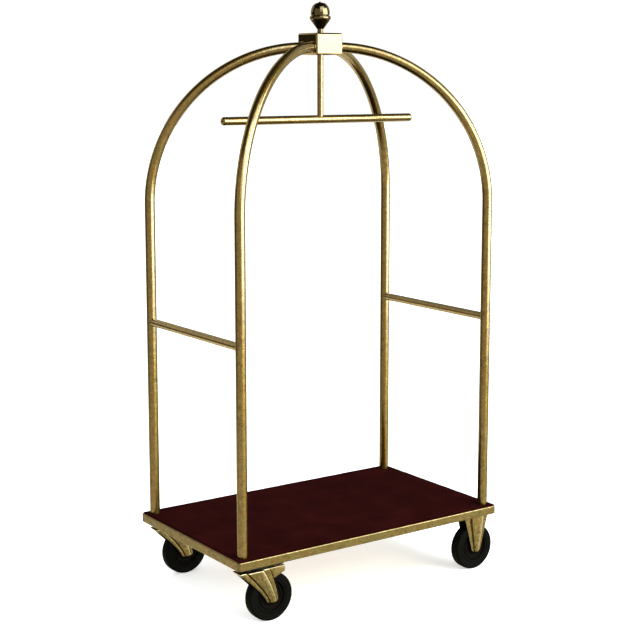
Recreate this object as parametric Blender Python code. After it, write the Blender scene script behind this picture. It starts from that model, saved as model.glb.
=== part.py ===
"""Hotel luggage cart: carpeted deck, four tubes arching to a crown, hanging bar and four casters.

Units are metres and +Z is up.  X runs along the deck's long side, Y across it, and the origin is
on the floor under the middle of the deck.  "Front" is the -Y long side, "left" the -X end.
The two left casters swivel about vertical kingpins and the two right casters are rigid.
"""
import math

import bmesh
import bpy
from mathutils import Matrix, Vector

# ---- Driving dimensions -------------------------------------------------------------------
GAP = 0.0003                    # clearance left between pieces that touch

DECK_LENGTH = 1.000
DECK_WIDTH = 0.600
DECK_BOTTOM = 0.185
CORNER_RADIUS = 0.010
CORNER_STEPS = 3                # facets in half a deck corner

RAIL_HEIGHT = 0.027             # brass channel round the deck
RAIL_WALL = 0.003
RAIL_FLANGE = 0.0075
RAIL_CHAMFER = 0.0022
MITRE_SHIFT = 0.0002

STRAP_THICKNESS = 0.0055        # steel straps under the board, which carry tubes and casters
STRAP_INNER_X = 0.336
STRAP_CLEARANCE = 0.0015        # strap to the rails' flanges
CARPET_INSET = 0.005
CARPET_TOP = 0.217
CARPET_ROUND = 0.0015

TUBE_RADIUS = 0.016
TUBE_WALL = 0.002
TUBE_INSET = 0.033              # tube centre line in from the deck's edges
TUBE_SIDES = 16
ARC_RADIUS = 0.488
ARC_START = 1.2165              # height where the straight tube starts to bend
ARC_STEPS = 14
SOCKET_RUN = 0.010              # straight tube past the end of the arc, inside the hub
PLUG_HEIGHT = 0.040
PLUG_RADIUS = 0.0133
BOLT_RADIUS = 0.004
BOLT_HEAD_RADIUS = 0.009
BOLT_LENGTH = 0.030

HUB_SIZE = (0.100, 0.105, 0.067)
HUB_BOTTOM = 1.6812
HUB_BEVEL = 0.007
HUB_TUBE_Y = 0.028              # where the tubes enter the hub's end faces
HUB_HOLE_DEPTH = 0.020

FINIAL_TOP = 1.845
STEM_RADIUS = 0.00925
CUP_BOTTOM = 1.761
CUP_TOP = 1.801
RING_RADIUS = 0.033
DOME_RADIUS = 0.0298

ROD_RADIUS = 0.0095
BAR_RADIUS = 0.013
BAR_WALL = 0.0015
BAR_HEIGHT = 1.4815
BAR_HALF_LENGTH = 0.3625
BAR_CAP_LENGTH = 0.012

SIDE_BAR_RADIUS = 0.0125
SIDE_BAR_HEIGHT = 0.843

WHEEL_RADIUS = 0.075
WHEEL_WIDTH = 0.036
TYRE_BORE = 0.053
TYRE_SHOULDER = 0.004
CORE_WIDTH = 0.030
CORE_WEB = 0.010
HUB_BOSS_RADIUS = 0.020
BUSH_RADIUS = 0.0095
BUSH_BORE = 0.0058
BUSH_LENGTH = 0.0375
AXLE_RADIUS = 0.005
WHEEL_Y = 0.255                 # wheel planes, either side of the middle

SWIVEL_X = -0.4025              # kingpin axes of the left casters
SWIVEL_TRAIL = 0.034            # wheel centre behind the kingpin
RIGID_X = 0.4325                # wheel centres of the right casters
RIGID_LEG_SHIFT = 0.004         # the rigid legs stand slightly ahead of their wheels
CROWN_TOP = 0.167
CROWN_DEPTH = 0.012
FORK_FOOT = 0.060               # lowest point of the fork legs
LEG_INNER = 0.0195              # faces of a leg, from the wheel plane
RIB_FACES = (0.0228, 0.0213)    # leading and trailing rib of a leg, from the wheel plane
PANEL_FACES = (0.0282, 0.0300)  # the panel between the ribs stands out, more at its trailing edge
WING_FACE = 0.0219
FLUTES = (0.22, 0.26, 0.74, 0.77)   # where the panel's two steps fall across a leg
LEG_LEVELS = 8
SWIVEL_LEFT_EDGE = (-0.080, (0.011, 0.0845), 0.0155)    # x at the top, (x, z) of the bend, x at the foot
SWIVEL_RIGHT_EDGE = (0.0245, (0.049, 0.117), 0.0565)
RIGID_HALF_FOOT = 0.0168
RIGID_HALF_TOP = 0.0505
WING_END = 0.0795               # trailing end of the swivelling crown, from the kingpin axis
WING_LOWEST = (0.037, 0.134)    # (x, z) where the wing's lower edge meets the leg
WING_END_LOW = 0.149
PLATE_HALF = (0.065, 0.036)
PLATE_THICKNESS = 0.0057
RACE_RADIUS = 0.027
KINGPIN_RADIUS = 0.006
KINGPIN_HEAD = 0.011

HOLE_SIDES = 24
ROUND_SIDES = 24

RAIL_TOP = DECK_BOTTOM + RAIL_HEIGHT
BOARD_BOTTOM = DECK_BOTTOM + STRAP_THICKNESS + GAP
TUBE_X = DECK_LENGTH / 2 - TUBE_INSET
TUBE_Y = DECK_WIDTH / 2 - TUBE_INSET
SIDES_X = {"left": -1, "right": 1}
SIDES_Y = {"front": -1, "back": 1}


# ---- Materials ----------------------------------------------------------------------------
def finish(name, colour, roughness, metallic):
    """A Principled material with one colour."""
    made = bpy.data.materials.new(name)
    made.use_nodes = True
    shader = made.node_tree.nodes["Principled BSDF"]
    shader.inputs["Base Color"].default_value = (*colour, 1.0)
    shader.inputs["Roughness"].default_value = roughness
    shader.inputs["Metallic"].default_value = metallic
    made.diffuse_color = (*colour, 1.0)
    return made


def make_finishes():
    """Every material of the cart, by the name of its slot."""
    return {
        "brass": finish("brass", (0.48, 0.35, 0.14), 0.38, 1.0),
        "carpet": finish("carpet", (0.030, 0.006, 0.009), 0.95, 0.0),
        "board": finish("board", (0.42, 0.28, 0.15), 0.7, 0.0),
        "black_steel": finish("black_steel", (0.02, 0.02, 0.02), 0.5, 0.6),
        "bright_steel": finish("bright_steel", (0.55, 0.55, 0.55), 0.3, 1.0),
        "rubber": finish("rubber", (0.012, 0.012, 0.012), 0.75, 0.0),
        "wheel_core": finish("wheel_core", (0.018, 0.014, 0.012), 0.5, 0.0),
    }


# ---- Mesh tools ---------------------------------------------------------------------------
def loft(sections, ring=False):
    """Join equal loops of points into one closed solid, end capped unless it is a ring."""
    made = bmesh.new()
    loops = [[made.verts.new(point) for point in section] for section in sections]
    pairs = list(zip(loops, loops[1:]))
    if ring:
        pairs.append((loops[-1], loops[0]))
    for near, far in pairs:
        for i in range(len(near)):
            j = (i + 1) % len(near)
            made.faces.new((near[i], near[j], far[j], far[i]))
    if not ring:
        made.faces.new(loops[0][::-1])
        made.faces.new(loops[-1])
    bmesh.ops.recalc_face_normals(made, faces=made.faces)
    return made


def revolve(profile, sides, ring=False, phase=0.0):
    """Turn (radius, height) points about Z.  A profile that isn't a ring starts and ends on the axis."""
    made = bmesh.new()
    loops = []
    for radius, height in profile:
        if radius == 0:
            loops.append([made.verts.new((0, 0, height))])
            continue
        angles = [2 * math.pi * (i + phase) / sides for i in range(sides)]
        loops.append([made.verts.new((radius * math.cos(a), radius * math.sin(a), height))
                      for a in angles])
    pairs = list(zip(loops, loops[1:]))
    if ring:
        pairs.append((loops[-1], loops[0]))
    for near, far in pairs:
        for i in range(sides):
            j = (i + 1) % sides
            corners = [near[i % len(near)], near[j % len(near)], far[j % len(far)], far[i % len(far)]]
            made.faces.new(list(dict.fromkeys(corners)))
    bmesh.ops.recalc_face_normals(made, faces=made.faces)
    return made


def rod(radius, low, high, sides):
    """A solid cylinder about Z."""
    return revolve([(0, low), (radius, low), (radius, high), (0, high)], sides)


def pipe(outer, inner, low, high, sides):
    """An open pipe about Z."""
    return revolve([(outer, low), (outer, high), (inner, high), (inner, low)], sides, ring=True)


def block(low, high, bevel=0.0, segments=1):
    """A box between two corners, with its edges bevelled."""
    made = bmesh.new()
    bmesh.ops.create_cube(made, size=1.0)
    low, high = Vector(low), Vector(high)
    for vertex in made.verts:
        vertex.co = [low[i] if vertex.co[i] < 0 else high[i] for i in range(3)]
    if bevel:
        bmesh.ops.bevel(made, geom=made.edges, offset=bevel, segments=segments, profile=0.5,
                        affect="EDGES")
    return made


def turned_to(made, axis):
    """Swing a piece built about Z so that it lies along X or Y."""
    angle, about = {"X": (math.pi / 2, "Y"), "Y": (-math.pi / 2, "X")}[axis]
    bmesh.ops.transform(made, matrix=Matrix.Rotation(angle, 4, about), verts=made.verts)
    return made


def place(name, made, material, location=(0, 0, 0), parent=None):
    """Put a mesh into the scene as a named piece."""
    mesh = bpy.data.meshes.new(name)
    made.to_mesh(mesh)
    made.free()
    mesh.materials.append(material)
    mesh.shade_smooth()
    mesh.set_sharp_from_angle(angle=math.radians(35))
    piece = bpy.data.objects.new(name, mesh)
    piece.location = location
    piece.parent = parent
    bpy.context.scene.collection.objects.link(piece)
    return piece


def helper(name, made, location=(0, 0, 0), parent=None):
    """A hidden solid that only takes part in a Boolean."""
    mesh = bpy.data.meshes.new(name)
    made.to_mesh(mesh)
    made.free()
    solid = bpy.data.objects.new(name, mesh)
    solid.location = location
    solid.parent = parent
    solid.hide_render = True
    solid.display_type = "WIRE"
    bpy.context.scene.collection.objects.link(solid)
    return solid


def combine(piece, operation, solids):
    """Cut hidden solids out of a piece, or join them to it."""
    for solid in solids:
        step = piece.modifiers.new(solid.name, "BOOLEAN")
        step.operation = operation
        step.solver = "EXACT"
        step.object = solid


def pivot(name, location, parent=None):
    """An empty on a joint's axis."""
    made = bpy.data.objects.new(name, None)
    made.location = location
    made.parent = parent
    bpy.context.scene.collection.objects.link(made)
    return made


# ---- Deck ---------------------------------------------------------------------------------
def corner_centre(sign_x, sign_y):
    """Centre of a rounded deck corner."""
    return Vector((sign_x * (DECK_LENGTH / 2 - CORNER_RADIUS),
                   sign_y * (DECK_WIDTH / 2 - CORNER_RADIUS), 0))


def deck_outline(inset, height):
    """The deck's rounded outline, moved in by an inset."""
    points = []
    for quarter, (sign_x, sign_y) in enumerate([(1, 1), (-1, 1), (-1, -1), (1, -1)]):
        for step in range(2 * CORNER_STEPS + 1):
            angle = math.pi / 2 * (quarter + step / (2 * CORNER_STEPS))
            reach = CORNER_RADIUS - inset
            arm = Vector((reach * math.cos(angle), reach * math.sin(angle), height))
            points.append(corner_centre(sign_x, sign_y) + arm)
    return points


def rail_section():
    """The channel's section as (inset, height) points, web outside."""
    return [
        (0, DECK_BOTTOM),
        (0, RAIL_TOP - RAIL_CHAMFER),
        (RAIL_CHAMFER, RAIL_TOP),
        (RAIL_FLANGE, RAIL_TOP),
        (RAIL_FLANGE, RAIL_TOP - RAIL_WALL),
        (RAIL_WALL, RAIL_TOP - RAIL_WALL),
        (RAIL_WALL, DECK_BOTTOM + RAIL_WALL),
        (RAIL_FLANGE, DECK_BOTTOM + RAIL_WALL),
        (RAIL_FLANGE, DECK_BOTTOM),
    ]


def make_rail(name, facing, material):
    """One side of the brass edge, mitred through the middle of its two corners."""
    outward = Vector((math.cos(facing), math.sin(facing), 0))
    along = Vector((-outward.y, outward.x, 0))
    sections = []
    for end in (-1, 1):
        diagonal = outward + end * along
        centre = corner_centre(math.copysign(1, diagonal.x), math.copysign(1, diagonal.y))
        turns = [end * math.pi / 4 * step / CORNER_STEPS for step in range(CORNER_STEPS + 1)]
        for turn in (turns[::-1] if end < 0 else turns):
            arm = Matrix.Rotation(turn, 3, "Z") @ outward
            at_mitre = math.isclose(abs(turn), math.pi / 4)
            shift = -end * MITRE_SHIFT * along if at_mitre else Vector((0, 0, 0))
            sections.append([centre + shift + arm * (CORNER_RADIUS - inset) + Vector((0, 0, height))
                             for inset, height in rail_section()])
    place(name, loft(sections), material)


def tube_holes(name, low, high):
    """Cutters for the four tube holes through a deck layer."""
    radius = TUBE_RADIUS + 2 * GAP
    return [helper(f"{name}_hole_{side_x}_{side_y}", rod(radius, low, high, HOLE_SIDES),
                   (sign_x * TUBE_X, sign_y * TUBE_Y, 0))
            for side_x, sign_x in SIDES_X.items() for side_y, sign_y in SIDES_Y.items()]


def make_deck(finishes):
    """Board, carpet, edge rails and the straps underneath."""
    under_flange = RAIL_TOP - RAIL_WALL - GAP
    board = place("deck_board", loft([
        deck_outline(RAIL_WALL + GAP, BOARD_BOTTOM),
        deck_outline(RAIL_WALL + GAP, under_flange),
        deck_outline(RAIL_FLANGE + GAP, under_flange),
        deck_outline(RAIL_FLANGE + GAP, RAIL_TOP)]), finishes["board"])
    combine(board, "DIFFERENCE", tube_holes("board", DECK_BOTTOM, CARPET_TOP))
    carpet = place("deck_carpet", loft([
        deck_outline(CARPET_INSET, RAIL_TOP + GAP),
        deck_outline(CARPET_INSET, CARPET_TOP - CARPET_ROUND),
        deck_outline(CARPET_INSET + CARPET_ROUND, CARPET_TOP)]), finishes["carpet"])
    combine(carpet, "DIFFERENCE", tube_holes("carpet", DECK_BOTTOM, CARPET_TOP + RAIL_HEIGHT))
    for quarter, side in enumerate(["right", "back", "left", "front"]):
        make_rail(f"edge_rail_{side}", quarter * math.pi / 2, finishes["brass"])
    for side, sign in SIDES_X.items():
        make_strap(side, sign, finishes["black_steel"])


def make_strap(side, sign, material):
    """A flat steel strap across the deck, with countersunk holes under its two tubes."""
    outer = DECK_LENGTH / 2 - RAIL_FLANGE - STRAP_CLEARANCE
    half_width = DECK_WIDTH / 2 - RAIL_FLANGE - STRAP_CLEARANCE
    ends = sorted((sign * STRAP_INNER_X, sign * outer))
    top = DECK_BOTTOM + STRAP_THICKNESS
    strap = place(f"mount_strap_{side}",
                  block((ends[0], -half_width, DECK_BOTTOM), (ends[1], half_width, top)), material)
    sink = [(0, DECK_BOTTOM - STRAP_THICKNESS), (BOLT_HEAD_RADIUS + 2 * GAP, DECK_BOTTOM - STRAP_THICKNESS),
            (BOLT_HEAD_RADIUS + 2 * GAP, DECK_BOTTOM), (BOLT_RADIUS + 2 * GAP, top),
            (BOLT_RADIUS + 2 * GAP, top + STRAP_THICKNESS), (0, top + STRAP_THICKNESS)]
    combine(strap, "DIFFERENCE", [
        helper(f"strap_hole_{side}_{side_y}", revolve(sink, HOLE_SIDES), (sign * TUBE_X, sign_y * TUBE_Y, 0))
        for side_y, sign_y in SIDES_Y.items()])


# ---- Tubes and crown ----------------------------------------------------------------------
def arch_plan(sign_x, sign_y):
    """Horizontal direction from a tube's foot to where it enters the hub."""
    return Vector((-sign_x * (TUBE_X - HUB_SIZE[0] / 2), -sign_y * (TUBE_Y - HUB_TUBE_Y), 0)).normalized()


def arch_path(sign_x, sign_y):
    """Stations of a tube's centre line, each with the direction that it runs in."""
    inward = arch_plan(sign_x, sign_y)
    foot = Vector((sign_x * TUBE_X, sign_y * TUBE_Y, 0))
    up = Vector((0, 0, 1))
    stations = [(foot + up * BOARD_BOTTOM, up)]
    for step in range(ARC_STEPS + 1):
        angle = math.pi / 2 * step / ARC_STEPS
        point = foot + inward * ARC_RADIUS * (1 - math.cos(angle))
        point += up * (ARC_START + ARC_RADIUS * math.sin(angle))
        stations.append((point, inward * math.sin(angle) + up * math.cos(angle)))
    stations.append((stations[-1][0] + inward * SOCKET_RUN, inward))
    return stations


def tube_ring(point, run, across, radius):
    """One ring of a tube about its centre line."""
    other = run.cross(across)
    turns = [2 * math.pi * i / TUBE_SIDES for i in range(TUBE_SIDES)]
    return [point + radius * (across * math.cos(turn) + other * math.sin(turn)) for turn in turns]


def make_arch_tube(name, sign_x, sign_y, material):
    """A hollow upright that bends through a quarter circle into the hub."""
    across = arch_plan(sign_x, sign_y).cross(Vector((0, 0, 1)))
    path = arch_path(sign_x, sign_y)
    outside = [tube_ring(point, run, across, TUBE_RADIUS) for point, run in path]
    inside = [tube_ring(point, run, across, TUBE_RADIUS - TUBE_WALL) for point, run in path]
    place(name, loft(outside + inside[::-1], ring=True), material)


def make_foot(corner, location, finishes):
    """The threaded plug in a tube's lower end, and the countersunk bolt that holds it down."""
    bore = BOLT_RADIUS + 2 * GAP
    top = BOARD_BOTTOM + PLUG_HEIGHT
    thread_end = BOARD_BOTTOM + BOLT_LENGTH
    place(f"tube_plug_{corner}", revolve([
        (bore, BOARD_BOTTOM), (PLUG_RADIUS, BOARD_BOTTOM), (PLUG_RADIUS, top), (0, top)][::-1]
        + [(bore, BOARD_BOTTOM), (bore, thread_end), (0, thread_end)], TUBE_SIDES),
        finishes["bright_steel"], location)
    shoulder = DECK_BOTTOM + STRAP_THICKNESS
    tip = thread_end - 2 * GAP
    place(f"tube_bolt_{corner}", revolve([
        (0, DECK_BOTTOM + GAP), (BOLT_HEAD_RADIUS, DECK_BOTTOM + GAP), (BOLT_RADIUS, shoulder),
        (BOLT_RADIUS, tip), (0, tip)], TUBE_SIDES), finishes["bright_steel"], location)


def make_arches(finishes):
    """The four tubes with their feet, and the two side bars between them."""
    for side_x, sign_x in SIDES_X.items():
        for side_y, sign_y in SIDES_Y.items():
            corner = f"{side_x}_{side_y}"
            make_arch_tube(f"arch_tube_{corner}", sign_x, sign_y, finishes["brass"])
            make_foot(corner, (sign_x * TUBE_X, sign_y * TUBE_Y, 0), finishes)
        make_side_bar(side_x, sign_x, finishes["brass"])


def make_side_bar(side, sign, material):
    """A pipe between the two tubes of one end, its ends coped to fit round them."""
    centre = (sign * TUBE_X, 0, SIDE_BAR_HEIGHT)
    bar = place(f"side_bar_{side}", turned_to(
        pipe(SIDE_BAR_RADIUS, SIDE_BAR_RADIUS - BAR_WALL, -TUBE_Y, TUBE_Y, ROUND_SIDES), "Y"),
        material, centre)
    combine(bar, "DIFFERENCE", [
        helper(f"side_bar_cope_{side}_{side_y}",
               rod(TUBE_RADIUS + 2 * GAP, -TUBE_INSET, TUBE_INSET, HOLE_SIDES),
               (sign * TUBE_X, sign_y * TUBE_Y, SIDE_BAR_HEIGHT))
        for side_y, sign_y in SIDES_Y.items()])


def make_hub(material):
    """The bevelled crown block with four tube sockets and a hole above and below."""
    half = [size / 2 for size in HUB_SIZE]
    top = HUB_BOTTOM + HUB_SIZE[2]
    hub = place("crown_hub", block((-half[0], -half[1], HUB_BOTTOM), (half[0], half[1], top),
                                   HUB_BEVEL, 2), material)
    cutters = []
    for side_x, sign_x in SIDES_X.items():
        for side_y, sign_y in SIDES_Y.items():
            end, inward = arch_path(sign_x, sign_y)[-1]
            socket = rod(TUBE_RADIUS + 3 * GAP, -GAP, 2 * TUBE_INSET, HOLE_SIDES)
            turn = inward.to_track_quat("-Z", "Y").to_matrix().to_4x4()
            bmesh.ops.transform(socket, matrix=turn, verts=socket.verts)
            cutters.append(helper(f"hub_socket_{side_x}_{side_y}", socket, end))
    bore = ROD_RADIUS + 2 * GAP
    cutters.append(helper("hub_rod_hole", rod(
        bore, HUB_BOTTOM - GAP - HUB_BEVEL, HUB_BOTTOM + HUB_HOLE_DEPTH + GAP, HOLE_SIDES)))
    cutters.append(helper("hub_stem_hole", rod(
        bore, top - HUB_HOLE_DEPTH - GAP, top + HUB_BEVEL, HOLE_SIDES)))
    combine(hub, "DIFFERENCE", cutters)


def make_finial(material):
    """The acorn finial: threaded stem, cup with a round rim, and domed cap with a small nub."""
    stem_low = HUB_BOTTOM + HUB_SIZE[2] - HUB_HOLE_DEPTH
    socket_top = CUP_BOTTOM + HUB_HOLE_DEPTH
    place("finial_stem", rod(STEM_RADIUS, stem_low, socket_top - GAP, ROUND_SIDES), material)
    rim_low, rim_middle = CUP_TOP - 0.011, CUP_TOP - 0.0055
    place("finial_cup", revolve([
        (0, socket_top), (STEM_RADIUS + 2 * GAP, socket_top), (STEM_RADIUS + 2 * GAP, CUP_BOTTOM),
        (STEM_RADIUS + 0.002, CUP_BOTTOM), (RING_RADIUS - 0.002, rim_low), (RING_RADIUS, rim_middle),
        (RING_RADIUS - 0.002, CUP_TOP), (0, CUP_TOP)], ROUND_SIDES), material)
    base = CUP_TOP + GAP
    dome_low = CUP_TOP + 0.010
    dome_height = FINIAL_TOP - 0.007 - dome_low
    curve = [(DOME_RADIUS * math.cos(turn), dome_low + dome_height * math.sin(turn))
             for turn in [math.pi / 2 * i / 6 for i in range(6)]]
    place("finial_cap", revolve(
        [(0, base), (DOME_RADIUS - 0.003, base)] + curve
        + [(0.0055, FINIAL_TOP - 0.006), (0.005, FINIAL_TOP - 0.002), (0.003, FINIAL_TOP),
           (0, FINIAL_TOP)], ROUND_SIDES), material)


def make_hanger(material):
    """The garment bar on its drop rod, with a cap in each end."""
    rod_top = HUB_BOTTOM + HUB_HOLE_DEPTH
    drop_rod = place("hanger_rod", rod(ROD_RADIUS, BAR_HEIGHT, rod_top, ROUND_SIDES), material)
    cope = turned_to(rod(BAR_RADIUS + 2 * GAP, -TUBE_INSET, TUBE_INSET, HOLE_SIDES), "X")
    combine(drop_rod, "DIFFERENCE", [helper("hanger_rod_cope", cope, (0, 0, BAR_HEIGHT))])
    bore = BAR_RADIUS - BAR_WALL
    pipe_half = BAR_HALF_LENGTH - BAR_CAP_LENGTH
    place("hanger_bar", turned_to(pipe(BAR_RADIUS, bore, -pipe_half, pipe_half, ROUND_SIDES), "X"),
          material, (0, 0, BAR_HEIGHT))
    spigot = bore - 2 * GAP
    cap = [(0, -BAR_CAP_LENGTH), (spigot, -BAR_CAP_LENGTH), (spigot, GAP), (BAR_RADIUS, GAP)]
    cap += [(BAR_RADIUS * math.cos(turn), BAR_CAP_LENGTH * (0.4 + 0.6 * math.sin(turn)))
            for turn in [math.pi / 2 * i / 5 for i in range(5)]]
    for side, sign in SIDES_X.items():
        made = turned_to(revolve(cap + [(0, BAR_CAP_LENGTH)], ROUND_SIDES), "X")
        if sign < 0:
            bmesh.ops.transform(made, matrix=Matrix.Rotation(math.pi, 4, "Z"), verts=made.verts)
        place(f"bar_cap_{side}", made, material, (sign * pipe_half, 0, BAR_HEIGHT))


# ---- Casters ------------------------------------------------------------------------------
def curve_x(height, top, bend, foot):
    """X at a height on a quadratic curve given by three (x, height) points."""
    a = top[1] - 2 * bend[1] + foot[1]
    b = 2 * (bend[1] - top[1])
    c = top[1] - height
    t = -c / b if abs(a) < 1e-9 else (-b - math.sqrt(max(b * b - 4 * a * c, 0))) / (2 * a)
    return (1 - t) ** 2 * top[0] + 2 * t * (1 - t) * bend[0] + t * t * foot[0]


def swivel_edges(height):
    """Left and right edges of a swivelling leg, from the kingpin axis."""
    return [curve_x(height, (top, CROWN_TOP), bend, (foot, FORK_FOOT))
            for top, bend, foot in (SWIVEL_LEFT_EDGE, SWIVEL_RIGHT_EDGE)]


def rigid_edges(height):
    """Left and right edges of a rigid leg, from the wheel's centre: a plain taper."""
    share = (height - FORK_FOOT) / (DECK_BOTTOM - FORK_FOOT)
    half = RIGID_HALF_FOOT + (RIGID_HALF_TOP - RIGID_HALF_FOOT) * share
    return RIGID_LEG_SHIFT - half, RIGID_LEG_SHIFT + half


def leg_section(height, edges, side):
    """A leg's section at a height: two ribs with a raised flute between them."""
    left, right = edges(height)
    reaches = [RIB_FACES[0], *PANEL_FACES, RIB_FACES[1]]
    across = [(0, LEG_INNER), (0, RIB_FACES[0]), *zip(FLUTES, reaches), (1, RIB_FACES[1]), (1, LEG_INNER)]
    return [(left + (right - left) * part, side * reach, height) for part, reach in across]


def make_leg(top, edges, side):
    """One fork leg, from its foot up to the crown's top."""
    heights = [FORK_FOOT + (top - FORK_FOOT) * i / LEG_LEVELS for i in range(LEG_LEVELS + 1)]
    return loft([leg_section(height, edges, side) for height in heights])


def swivel_crown():
    """The cast cap over the wheel, whose leading end slopes with the edge of the legs."""
    top = CROWN_TOP - GAP / 2
    sections = []
    for height in (top - CROWN_DEPTH, top):
        lead = swivel_edges(height)[0]
        wing_start = SWIVEL_RIGHT_EDGE[0]
        front = [(lead, -RIB_FACES[0]), (lead + 0.02, -RIB_FACES[0]), (lead + 0.03, -RIB_FACES[1] + 0.0002),
                 (wing_start, -RIB_FACES[1] + 0.0002), (wing_start + 0.001, -WING_FACE), (WING_END, -WING_FACE)]
        sections.append([(x, y, height) for x, y in front + [(x, -y) for x, y in front[::-1]]])
    return loft(sections)


def swivel_wings():
    """The skirts under the crown's trailing end, whose lower edges rise away from the legs."""
    start = SWIVEL_RIGHT_EDGE[0] + 0.001
    inside_crown = CROWN_TOP - CROWN_DEPTH + 0.002
    profile = [(start, inside_crown - 0.015), WING_LOWEST, (WING_END, WING_END_LOW),
               (WING_END, inside_crown), (start, inside_crown)]
    return [loft([[(x, side * reach, z) for x, z in profile] for reach in (LEG_INNER, WING_FACE)])
            for side in (-1, 1)]


def rigid_crown():
    """The flat top of a rigid fork, which bolts up against the strap."""
    top = DECK_BOTTOM - GAP * 1.5
    left, right = rigid_edges(top - CROWN_DEPTH)
    reach = RIB_FACES[1] - 0.0002
    return block((left, -reach, top - CROWN_DEPTH), (right, reach, top))


def make_fork(name, crown, others, axle_x, finishes, parent):
    """Join crown, legs and wings into one casting and bore it for its axle."""
    fork = place(name, crown, finishes["brass"], parent=parent)
    joined = [helper(f"{name}_part_{i}", solid, parent=parent) for i, solid in enumerate(others)]
    combine(fork, "UNION", joined)
    bore = turned_to(rod(AXLE_RADIUS + 2 * GAP, -2 * WHEEL_WIDTH, 2 * WHEEL_WIDTH, HOLE_SIDES), "Y")
    cutter = helper(f"{name}_axle_bore", bore, (axle_x, 0, WHEEL_RADIUS), parent)
    combine(fork, "DIFFERENCE", [cutter])
    return fork


def make_axle(name, location, finishes, parent):
    """A plain pin, flush with the outer faces of the fork's legs."""
    reach = PANEL_FACES[0]
    place(name, turned_to(rod(AXLE_RADIUS, -reach, reach, TUBE_SIDES), "Y"), finishes["brass"], location, parent)


def make_wheel(corner, centre, finishes):
    """Solid rubber tyre on a dished core that turns on a plain bush."""
    half = WHEEL_WIDTH / 2
    tread = WHEEL_RADIUS / math.cos(math.pi / ROUND_SIDES)     # so that a flat of the tread is down
    side = [(TYRE_BORE, half), (tread - TYRE_SHOULDER, half), (tread - 0.0015, half - 0.003),
            (tread, half - TYRE_SHOULDER)]
    place(f"tyre_{corner}", turned_to(revolve(
        [(radius, -y) for radius, y in side] + side[::-1], ROUND_SIDES, ring=True, phase=0.5), "Y"),
        finishes["rubber"], parent=centre)
    rim, web = CORE_WIDTH / 2, CORE_WEB / 2
    outer = TYRE_BORE - 2 * GAP
    bore = BUSH_RADIUS + 2 * GAP
    place(f"wheel_core_{corner}", turned_to(revolve([
        (bore, -half), (HUB_BOSS_RADIUS, -half), (HUB_BOSS_RADIUS + 0.003, -web),
        (outer - 0.006, -web), (outer - 0.004, -rim), (outer, -rim), (outer, rim), (outer - 0.004, rim),
        (outer - 0.006, web), (HUB_BOSS_RADIUS + 0.003, web), (HUB_BOSS_RADIUS, half),
        (bore, half)], ROUND_SIDES, ring=True), "Y"), finishes["wheel_core"], parent=centre)
    place(f"wheel_bush_{corner}", turned_to(
        pipe(BUSH_RADIUS, BUSH_BORE, -BUSH_LENGTH / 2, BUSH_LENGTH / 2, TUBE_SIDES), "Y"),
        finishes["brass"], parent=centre)


def make_swivel_caster(side, sign, finishes):
    """Top plate, race and kingpin on the deck; fork, axle and wheel turning below them."""
    axis = pivot(f"swivel_axis_{side}", (SWIVEL_X, sign * WHEEL_Y, 0))
    plate_top = DECK_BOTTOM - GAP
    plate_low = plate_top - PLATE_THICKNESS
    plate = place(f"swivel_plate_{side}", block(
        (-PLATE_HALF[0], -PLATE_HALF[1], plate_low), (PLATE_HALF[0], PLATE_HALF[1], plate_top)),
        finishes["black_steel"], parent=axis)
    pin_bore = KINGPIN_RADIUS + 3 * GAP
    combine(plate, "DIFFERENCE", [helper(
        f"plate_hole_{side}", rod(pin_bore, plate_low - GAP, plate_top + GAP, HOLE_SIDES), parent=axis)])
    race_low, race_high = CROWN_TOP + GAP, plate_low - GAP
    place(f"swivel_race_{side}", revolve([
        (2 * KINGPIN_RADIUS, race_low), (RACE_RADIUS - 0.004, race_low), (RACE_RADIUS, race_low + 0.006),
        (RACE_RADIUS, race_high), (2 * KINGPIN_RADIUS, race_high)], ROUND_SIDES, ring=True),
        finishes["bright_steel"], parent=axis)
    crown_low = CROWN_TOP - CROWN_DEPTH - GAP
    place(f"kingpin_{side}", revolve([
        (0, crown_low - 0.005), (KINGPIN_HEAD - 0.002, crown_low - 0.004), (KINGPIN_HEAD, crown_low - GAP),
        (KINGPIN_RADIUS, crown_low - GAP), (KINGPIN_RADIUS, plate_top), (0, plate_top)], TUBE_SIDES),
        finishes["bright_steel"], parent=axis)
    legs = [make_leg(CROWN_TOP, swivel_edges, y) for y in (-1, 1)]
    fork = make_fork(f"swivel_fork_{side}", swivel_crown(), legs + swivel_wings(),
                     SWIVEL_TRAIL, finishes, axis)
    combine(fork, "DIFFERENCE", [helper(
        f"fork_pin_hole_{side}", rod(pin_bore, crown_low - 0.02, CROWN_TOP + 0.01, HOLE_SIDES), parent=axis)])
    make_axle(f"swivel_axle_{side}", (SWIVEL_TRAIL, 0, WHEEL_RADIUS), finishes, axis)
    centre = pivot(f"wheel_centre_left_{side}", (SWIVEL_TRAIL, 0, WHEEL_RADIUS), axis)
    make_wheel(f"left_{side}", centre, finishes)


def make_rigid_caster(side, sign, finishes):
    """Fixed fork with its axle and wheel."""
    base = pivot(f"rigid_base_{side}", (RIGID_X, sign * WHEEL_Y, 0))
    top = DECK_BOTTOM - GAP
    make_fork(f"rigid_fork_{side}", rigid_crown(), [make_leg(top, rigid_edges, y) for y in (-1, 1)],
              0, finishes, base)
    make_axle(f"rigid_axle_{side}", (0, 0, WHEEL_RADIUS), finishes, base)
    centre = pivot(f"wheel_centre_right_{side}", (0, 0, WHEEL_RADIUS), base)
    make_wheel(f"right_{side}", centre, finishes)


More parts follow.
